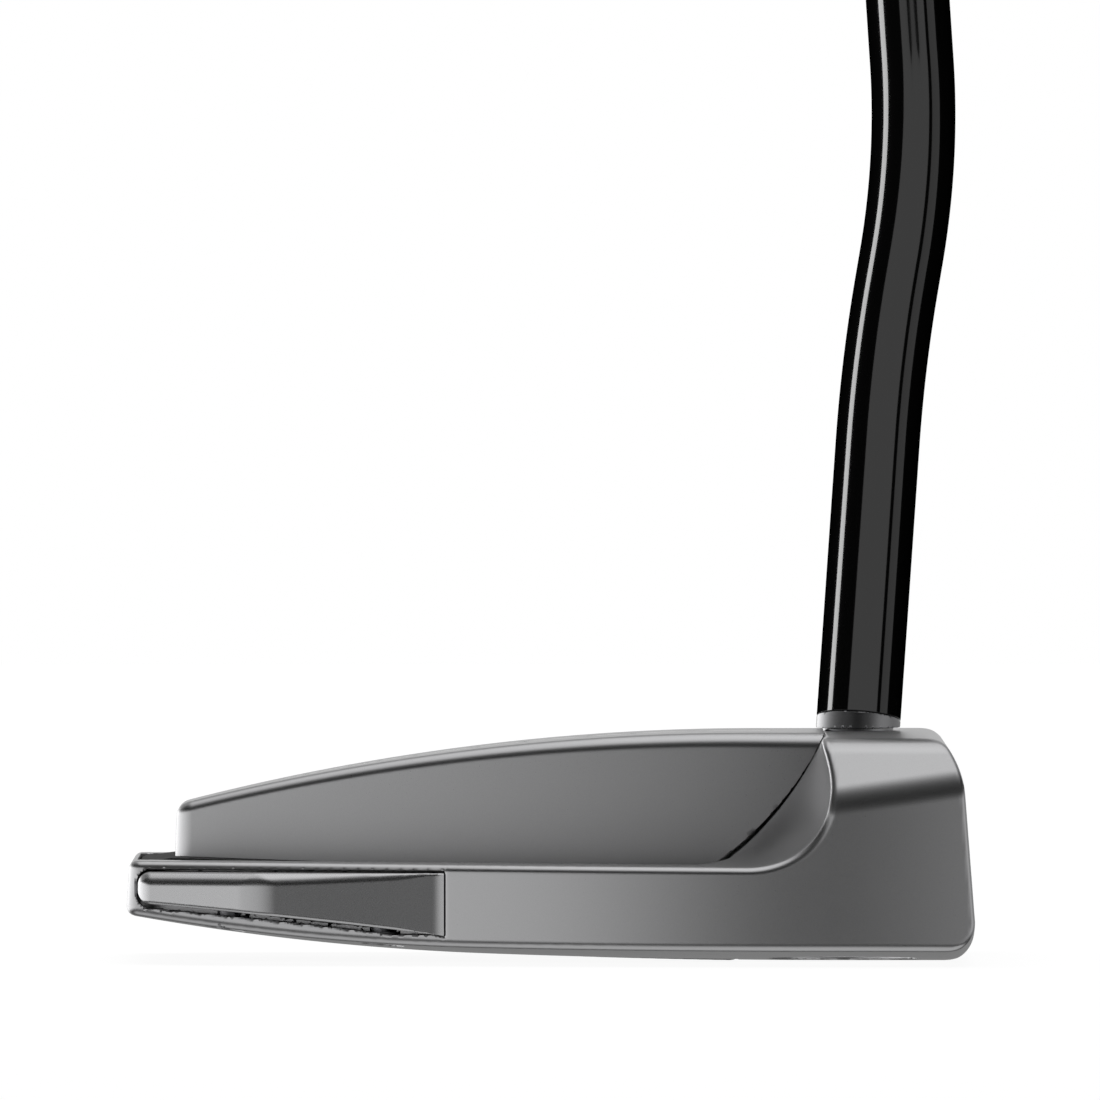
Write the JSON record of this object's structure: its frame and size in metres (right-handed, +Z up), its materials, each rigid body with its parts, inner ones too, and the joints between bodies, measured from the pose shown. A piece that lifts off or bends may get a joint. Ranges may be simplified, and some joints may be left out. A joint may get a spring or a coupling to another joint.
{
  "type": "mallet putter",
  "caption": "Mallet golf putter with a raised centre spine, faceted wing weights, sole weights that unscrew, a double-bend shaft and a flat-fronted grip.",
  "frame": {"origin": "on the ground, at the middle of the flat of the sole, midway between the two sole weights", "axes": "+X from toe to heel, +Y from face to tail, +Z up, putter at address"},
  "size_m": [0.3654, 0.0939, 0.8231],
  "materials": {
    "head_metal": "milled, dark grey anodised, satin",
    "insert_metal": "fine blasted, grooved",
    "pad_polymer": "matte",
    "spine_metal": "milled, dark grey anodised, satin",
    "line_white": "enamel fill",
    "inlay_black": "fine matte",
    "plate_black": "black anodised, brushed",
    "screw_steel": "black oxide",
    "weight_metal": "satin, dark plated",
    "sole_weight_steel": "turned, satin",
    "washer_rubber": "moulded",
    "post_steel": "turned, fine",
    "shaft_black": "gloss black",
    "band_film": "printed film, no text",
    "tape_paper": "crepe paper tape",
    "grip_foam": "closed-cell foam",
    "grip_polymer": "stippled, soft",
    "grip_rubber": "moulded"
  },
  "bodies": {
    "club": {"head_body": "head_metal", "face_insert": "insert_metal", "insert_pad": "pad_polymer", "spine_bridge": "spine_metal", "sight_line": "line_white", "deck_inlay": "inlay_black", "sole_plate": "plate_black", "sole_screws": "screw_steel", "wing_weight_toe": "weight_metal", "wing_weight_heel": "weight_metal", "wing_screws_toe": "screw_steel", "wing_screws_heel": "screw_steel", "hosel_post": "post_steel", "shaft": "shaft_black", "shaft_band": "band_film", "grip_tape": "tape_paper", "grip_core": "grip_foam", "grip_skin": "grip_polymer", "grip_end_cap": "grip_rubber"},
    "toe_washer": {"weight_washer_toe": "washer_rubber"},
    "toe_weight": {"sole_weight_toe": "sole_weight_steel"},
    "heel_washer": {"weight_washer_heel": "washer_rubber"},
    "heel_weight": {"sole_weight_heel": "sole_weight_steel"}
  },
  "joints": [
    {"name": "toe_weight_draw", "type": "slide", "parent": "club", "child": "toe_washer", "axis": [0, 0, -1], "range_m": [0, 0.0061]},
    {"name": "toe_weight_turn", "type": "hinge", "parent": "toe_washer", "child": "toe_weight", "pos_m": [-0.032, 0, 0.003], "axis": [0, 0, -1], "range_deg": [0, 2160]},
    {"name": "heel_weight_draw", "type": "slide", "parent": "club", "child": "heel_washer", "axis": [0, 0, -1], "range_m": [0, 0.0061]},
    {"name": "heel_weight_turn", "type": "hinge", "parent": "heel_washer", "child": "heel_weight", "pos_m": [0.032, 0, 0.003], "axis": [0, 0, -1], "range_deg": [0, 2160]}
  ],
  "couplings": [
    {"joint": "toe_weight_draw", "follows": "toe_weight_turn", "m_per_rad": 0.00015915},
    {"joint": "heel_weight_draw", "follows": "heel_weight_turn", "m_per_rad": 0.00015915}
  ]
}
